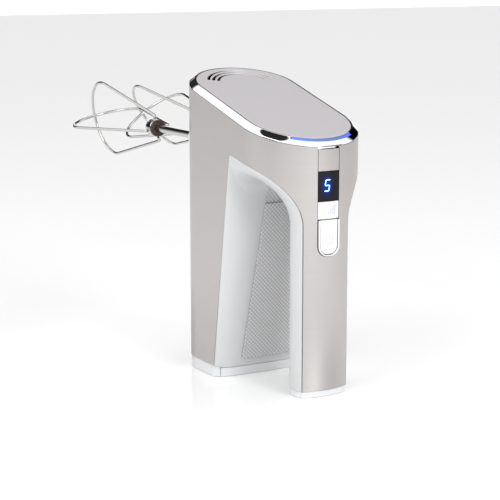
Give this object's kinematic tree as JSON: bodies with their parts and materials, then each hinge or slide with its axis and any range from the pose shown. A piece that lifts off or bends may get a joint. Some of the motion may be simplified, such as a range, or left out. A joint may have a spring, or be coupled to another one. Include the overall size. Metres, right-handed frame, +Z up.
{
  "type": "cordless hand mixer",
  "caption": "Cordless hand mixer standing on its end: steel-wrapped casing with a slanted top, loop handle with a lit display, and wire beaters pointing out of the back.",
  "frame": {"origin": "on the standing surface, at the middle of the flat base of the motor column", "axes": "+Z up, +Y along the beaters away from the casing, -Y towards the handle and its display, +X across the mixer, to the right when the display is faced"},
  "size_m": [0.0886, 0.2835, 0.1903],
  "materials": {
    "brushed_steel": "fine brushed grain",
    "chrome": "mirror polished",
    "satin_silver": "satin silver",
    "white_plastic": "moulded, soft gloss",
    "textured_grey": "fine diamond texture",
    "dark_plastic": "dark brown, matt",
    "black_glass": "gloss black window",
    "blue_light": "frosted light guide, lit blue",
    "circuit_green": "solder mask",
    "black_plastic": "moulded, matt",
    "cell_blue": "shrink sleeve",
    "motor_zinc": "zinc plated or die cast",
    "bronze": "sintered, oiled",
    "nylon": "natural nylon",
    "spring_steel": "ground steel"
  },
  "bodies": {
    "casing": {"steel_skin": "brushed_steel", "rear_cover": "white_plastic", "inner_liner": "white_plastic", "grip_panel": "textured_grey", "base_rim": "white_plastic", "battery_door": "white_plastic", "door_screw_left": "spring_steel", "door_screw_right": "spring_steel", "handle_foot": "white_plastic", "heel_screw": "spring_steel", "chrome_ring": "chrome", "light_guide": "blue_light", "light_board": "circuit_green", "nose_cap": "satin_silver", "control_strip": "brushed_steel", "display_window": "black_glass", "display_module": "black_plastic", "speed_switch": "black_plastic", "key_bezel": "chrome", "power_switch": "black_plastic", "control_board": "circuit_green", "battery_tray": "black_plastic", "battery_cell_1": "cell_blue", "battery_cell_2": "cell_blue", "battery_cell_3": "cell_blue", "cell_link": "motor_zinc", "power_board": "circuit_green", "charge_port": "black_plastic", "motor_can": "motor_zinc", "motor_end_cap": "black_plastic", "gear_frame": "motor_zinc", "bearing_bridge": "motor_zinc", "worm_bush": "bronze", "spindle_bush_left": "bronze", "spindle_bush_right": "bronze", "socket_collar_left": "white_plastic", "socket_collar_right": "white_plastic"},
    "speed_button": {"speed_button": "white_plastic"},
    "power_button": {"power_button": "white_plastic"},
    "motor_rotor": {"worm_shaft": "spring_steel", "cooling_fan": "nylon"},
    "drive_left": {"spindle_left": "spring_steel", "worm_wheel_left": "nylon", "circlip_left": "spring_steel"},
    "drive_right": {"spindle_right": "spring_steel", "worm_wheel_right": "nylon", "circlip_right": "spring_steel"},
    "beater_left": {"beater_shaft_left": "chrome", "beater_seal_left": "dark_plastic", "beater_hub_left": "chrome", "beater_wire_outer_left": "chrome", "beater_wire_inner_left": "chrome"},
    "beater_right": {"beater_shaft_right": "chrome", "beater_seal_right": "dark_plastic", "beater_hub_right": "chrome", "beater_wire_outer_right": "chrome", "beater_wire_inner_right": "chrome"}
  },
  "joints": [
    {"name": "spindle_left_spin", "type": "hinge", "parent": "casing", "child": "drive_left", "pos_m": [-0.0195, 0, 0.1466], "axis": [0, 1, 0], "continuous": true},
    {"name": "spindle_right_spin", "type": "hinge", "parent": "casing", "child": "drive_right", "pos_m": [0.0195, 0, 0.1466], "axis": [0, 1, 0], "continuous": true},
    {"name": "rotor_spin", "type": "hinge", "parent": "casing", "child": "motor_rotor", "pos_m": [0, -0.01, 0.1466], "axis": [0, 0, 1], "continuous": true},
    {"name": "beater_left_pull", "type": "slide", "parent": "drive_left", "child": "beater_left", "axis": [0, 1, 0], "range_m": [0, 0.045]},
    {"name": "beater_right_pull", "type": "slide", "parent": "drive_right", "child": "beater_right", "axis": [0, 1, 0], "range_m": [0, 0.045]},
    {"name": "speed_button_press", "type": "slide", "parent": "casing", "child": "speed_button", "axis": [0, 1, 0], "range_m": [0, 0.0008], "stiffness_N_per_m": 800},
    {"name": "power_button_press", "type": "slide", "parent": "casing", "child": "power_button", "axis": [0, 1, 0], "range_m": [0, 0.0008], "stiffness_N_per_m": 800}
  ],
  "couplings": [
    {"joint": "rotor_spin", "follows": "spindle_left_spin", "ratio": 30},
    {"joint": "spindle_right_spin", "follows": "spindle_left_spin", "ratio": -1}
  ]
}
